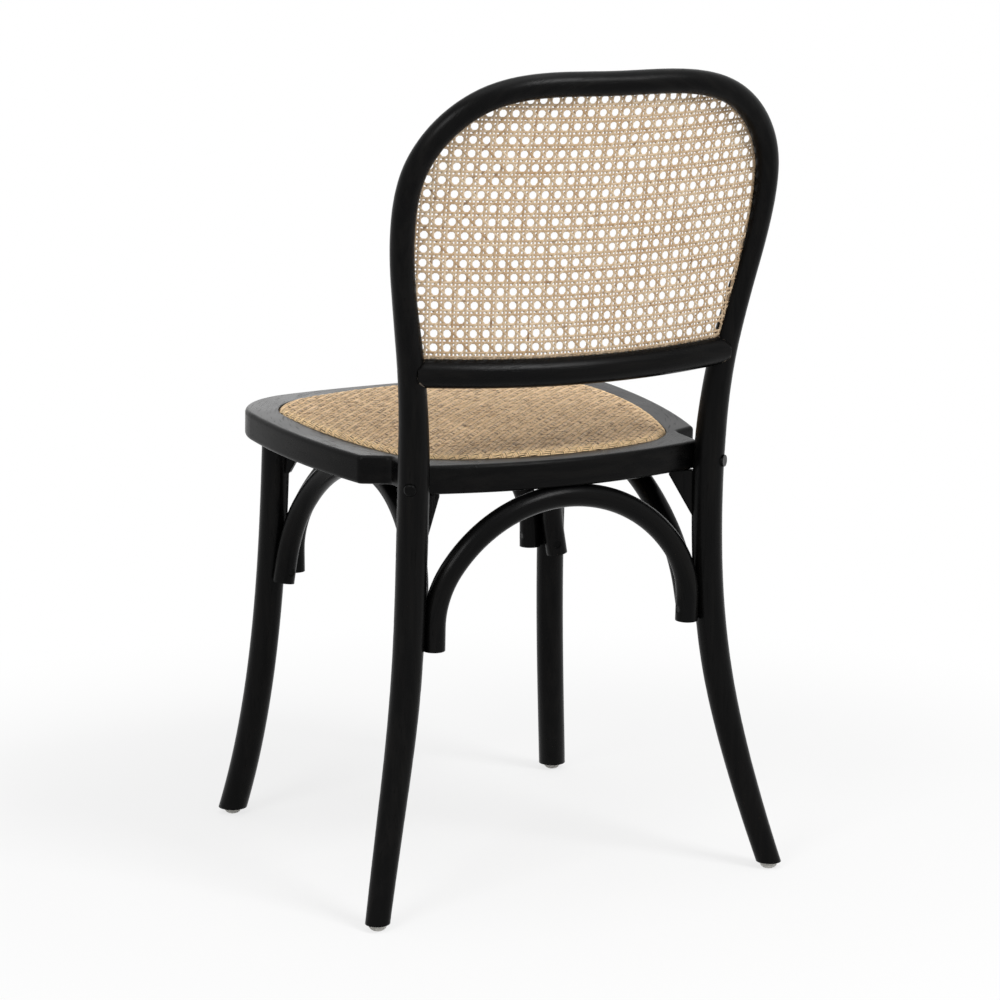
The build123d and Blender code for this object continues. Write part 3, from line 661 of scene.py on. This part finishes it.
def makePad(outline, top):
    centre = outline.mean(axis=0)
    count = len(outline)
    rings = []
    for step in range(1, seat["padRings"] + 1):
        rings.append(centre + (outline - centre) * step / seat["padRings"])
    edge = seat["edge"] + seat["drop"]
    grown = outline - centre
    grown = grown / np.linalg.norm(grown, axis=1)[:, None]
    for share in (0.3, 0.6, 1.0):
        rings.append(outline + grown * edge * share)
    flat = np.concatenate([[centre], *rings])
    local = onPad(flat, outline, top, seat["skin"] + seat["padInset"])[0]
    floor = local[-count:].copy()
    floor[:, 2] = seat["padBottom"]
    bottom = np.array([[centre[0], centre[1], seat["padBottom"]]])
    verts = fromSeat(np.concatenate([local, floor, bottom]))
    faces = [[0, 1 + k, 1 + (k + 1) % count] for k in range(count)]
    for ring in range(len(rings)):
        first = 1 + ring * count
        for k in range(count):
            after = (k + 1) % count
            faces.append([first + k, first + count + k, first + count + after, first + after])
    last = 1 + len(rings) * count
    faces += [[len(verts) - 1, last + (k + 1) % count, last + k] for k in range(count)]
    mesh = bpy.data.meshes.new("seat_pad")
    mesh.from_pydata(verts.tolist(), [], faces)
    shape = bmesh.new()
    shape.from_mesh(mesh)
    bmesh.ops.recalc_face_normals(shape, faces=shape.faces)
    shape.to_mesh(mesh)
    shape.free()
    mesh.shade_smooth()
    mesh.materials.append(padShader())
    piece = bpy.data.objects.new("seat_pad", mesh)
    bpy.context.scene.collection.objects.link(piece)
    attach(piece, "root")
    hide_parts("seat_foam")


padEdge, padTop = padOutline()
makePad(padEdge, padTop)
makeTwill(padEdge, padTop)


# Finishes of the turned, bent and bought pieces

plainLook = {
    "dark": (0.50, 0.35, 0.20, 1),
    "light": (0.66, 0.50, 0.32, 1),
    "scale": (260, 260, 9),
    "rough": (0.55, 0.75),
}
steelLook = {
    "black_steel": {"dark": (0.004, 0.004, 0.004, 1), "light": (0.010, 0.010, 0.010, 1)},
    "bright_steel": {"dark": (0.45, 0.44, 0.43, 1), "light": (0.62, 0.61, 0.60, 1)},
    "scale": 400.0,
    "rough": (0.25, 0.4),
}
glideLook = {
    "dark": (0.62, 0.60, 0.55, 1),
    "light": (0.80, 0.79, 0.75, 1),
    "scale": 300.0,
    "rough": (0.3, 0.5),
    "clear": 0.35,
}


def plainWood():
    material, tree, shader = newShader("plain_wood")
    vector = straightGrain("x")(tree)
    lines = noise(tree, stretched(tree, vector, plainLook["scale"]), 1.0, 3.0, 0.6)
    tone = blendColour(tree, lines, plainLook["dark"], plainLook["light"])
    tree.links.new(tone, shader.inputs["Base Color"])
    tree.links.new(ramp(tree, lines, *plainLook["rough"]), shader.inputs["Roughness"])
    tree.links.new(bump(tree, lines, 0.2, 0.0002), shader.inputs["Normal"])
    return material


def steel(name):
    material, tree, shader = newShader(name)
    x, y, z = objectPlace(tree)
    wear = noise(tree, vectorOf(tree, x, y, z), steelLook["scale"], 3.0, 0.6)
    tone = blendColour(tree, wear, steelLook[name]["dark"], steelLook[name]["light"])
    tree.links.new(tone, shader.inputs["Base Color"])
    shader.inputs["Metallic"].default_value = 1.0
    tree.links.new(ramp(tree, wear, *steelLook["rough"], 0.3, 0.7), shader.inputs["Roughness"])
    tree.links.new(bump(tree, wear, 0.1, 0.0001), shader.inputs["Normal"])
    return material


def glideShader():
    material, tree, shader = newShader("glide")
    x, y, z = objectPlace(tree)
    scuff = noise(tree, vectorOf(tree, x, y, z), glideLook["scale"], 3.0, 0.6)
    tone = blendColour(tree, scuff, glideLook["dark"], glideLook["light"])
    tree.links.new(tone, shader.inputs["Base Color"])
    tree.links.new(ramp(tree, scuff, *glideLook["rough"], 0.3, 0.7), shader.inputs["Roughness"])
    shader.inputs["Transmission Weight"].default_value = glideLook["clear"]
    shader.inputs["IOR"].default_value = 1.5
    tree.links.new(bump(tree, scuff, 0.1, 0.0002), shader.inputs["Normal"])
    return material


def arched(name):
    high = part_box(name)[1]
    return bentGrain("x", 0.0, high.z - high.x, high.x)


def sideArched(name):
    low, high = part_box(name)
    half = (high.y - low.y) / 2
    return bentGrain("y", (high.y + low.y) / 2, high.z - half, half)


def dress():
    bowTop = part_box("back_bow")[1].z
    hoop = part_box("cane_panel")[1].x
    grains = {
        "back_bow": bentGrain("x", 0.0, bowTop - 0.8 * hoop, hoop),
        "lower_back_rail": straightGrain("x"),
        "seat_frame": roundGrain(seat["origin"][1] + seat["crownY"], 0.2),
        "front_leg_left": straightGrain("z"),
        "front_leg_right": straightGrain("z"),
        "front_arch": arched("front_arch"),
        "rear_arch": arched("rear_arch"),
        "left_arch": sideArched("left_arch"),
        "right_arch": sideArched("right_arch"),
        "front_gusset_left": straightGrain("z"),
        "front_gusset_right": straightGrain("z"),
        "rear_gusset_left": straightGrain("z"),
        "rear_gusset_right": straightGrain("z"),
    }
    slotShaders = {
        "plain_wood": plainWood(),
        "cane": strandShader("cane_edge", caneLook),
        "rattan": strandShader("rattan_edge", rattanLook),
        "foam": padShader(),
        "black_steel": steel("black_steel"),
        "bright_steel": steel("bright_steel"),
        "glide": glideShader(),
    }
    slots = {}
    for part in frame["record"]["subparts"]:
        slots[part["node"]] = part["material_slot"]
    for name, piece in nodes.items():
        if name in grains:
            worn = wornCope if name == "lower_back_rail" else None
            finish = blackElm("elm_" + name, grains[name], worn)
        else:
            finish = slotShaders.get(slots.get(name), slotShaders["plain_wood"])
        piece.data.materials.clear()
        piece.data.materials.append(finish)
        piece.data.shade_smooth()
    print("finishes on", len(nodes), "nodes")


dress()


# Floor, light and camera

studio = {
    "floorSize": 12.0,
    "shadow": 0.25,
    "fadeStart": 0.45,
    "fadeEnd": 1.1,
    "ambient": 0.33,
    "camera": (1.5389, 3.0460, 1.0638),
    "azimuth": math.radians(153.11),
    "elevation": math.radians(11.19),
    "focalPixels": 3242.0,
    "imagePixels": 1000.0,
    "sensor": 36.0,
}
lamps = {
    "overhead": {"place": (0.0, 0.2, 2.6), "aim": (0.0, 0.0, 0.5), "size": (1.6, 1.6), "watts": 16},
    "key": {"place": (-0.83, 1.95, 2.55), "aim": (0.0, 0.1, 0.55), "size": (0.9, 0.9), "watts": 48},
    "left": {"place": (1.9, 1.2, 2.1), "aim": (0.0, 0.1, 0.55), "size": (0.9, 0.9), "watts": 22},
    "front": {"place": (-0.8, -3.0, 1.3), "aim": (0.0, 0.0, 0.5), "size": (1.0, 0.8), "watts": 3},
}


def seenDirectly(tree):
    light = tree.nodes.new("ShaderNodeLightPath").outputs
    seen = calc(tree, "MAXIMUM", light["Is Camera Ray"], light["Is Glossy Ray"])
    return calc(tree, "MAXIMUM", seen, light["Is Transmission Ray"])


def makeFloor():
    half = studio["floorSize"] / 2
    mesh = bpy.data.meshes.new("floor")
    corners = [(-half, -half, 0), (half, -half, 0), (half, half, 0), (-half, half, 0)]
    mesh.from_pydata(corners, [], [(0, 1, 2, 3)])
    floor = bpy.data.objects.new("floor", mesh)
    bpy.context.scene.collection.objects.link(floor)
    material = bpy.data.materials.new("floor_white")
    material.use_nodes = True
    tree = material.node_tree
    tree.nodes.clear()
    output = tree.nodes.new("ShaderNodeOutputMaterial")
    white = tree.nodes.new("ShaderNodeEmission")
    white.inputs["Color"].default_value = (1, 1, 1, 1)
    matt = tree.nodes.new("ShaderNodeBsdfDiffuse")
    matt.inputs["Color"].default_value = (0.85, 0.85, 0.85, 1)
    x, y = objectPlace(tree)[:2]
    reach = lengthOf(tree, x, y)
    near = ramp(tree, reach, studio["shadow"], 0.0, studio["fadeStart"], studio["fadeEnd"])
    unseen = calc(tree, "SUBTRACT", 1.0, seenDirectly(tree))
    mix = tree.nodes.new("ShaderNodeMixShader")
    tree.links.new(calc(tree, "MAXIMUM", near, unseen), mix.inputs["Fac"])
    tree.links.new(white.outputs[0], mix.inputs[1])
    tree.links.new(matt.outputs[0], mix.inputs[2])
    tree.links.new(mix.outputs[0], output.inputs["Surface"])
    mesh.materials.append(material)


def makeWorld():
    world = bpy.data.worlds.new("studio")
    world.use_nodes = True
    bpy.context.scene.world = world
    tree = world.node_tree
    back = tree.nodes["Background"]
    back.inputs["Color"].default_value = (1, 1, 1, 1)
    seen = seenDirectly(tree)
    tree.links.new(ramp(tree, seen, studio["ambient"], 1.0), back.inputs["Strength"])


def softbox(name, place, aim, size, watts):
    light = bpy.data.lights.new(name, "AREA")
    light.shape = "RECTANGLE"
    light.size, light.size_y = size
    light.energy = watts
    lamp = bpy.data.objects.new(name, light)
    lamp.location = place
    lamp.visible_camera = False
    lamp.rotation_mode = "QUATERNION"
    lamp.rotation_quaternion = (Vector(aim) - Vector(place)).to_track_quat("-Z", "Y")
    bpy.context.scene.collection.objects.link(lamp)


def makeCamera():
    azimuth, elevation = studio["azimuth"], studio["elevation"]
    back = Vector((
        math.sin(azimuth) * math.cos(elevation),
        -math.cos(azimuth) * math.cos(elevation),
        math.sin(elevation),
    ))
    view = bpy.data.cameras.new("camera")
    view.sensor_width = studio["sensor"]
    view.lens = studio["sensor"] * studio["focalPixels"] / studio["imagePixels"]
    camera = bpy.data.objects.new("camera", view)
    camera.location = studio["camera"]
    camera.rotation_mode = "QUATERNION"
    camera.rotation_quaternion = (-back).to_track_quat("-Z", "Y")
    bpy.context.scene.collection.objects.link(camera)
    bpy.context.scene.camera = camera


makeFloor()
makeWorld()
for name, lamp in lamps.items():
    softbox(name, **lamp)
makeCamera()
bpy.context.scene.view_settings.view_transform = "Standard"
print("stage set")
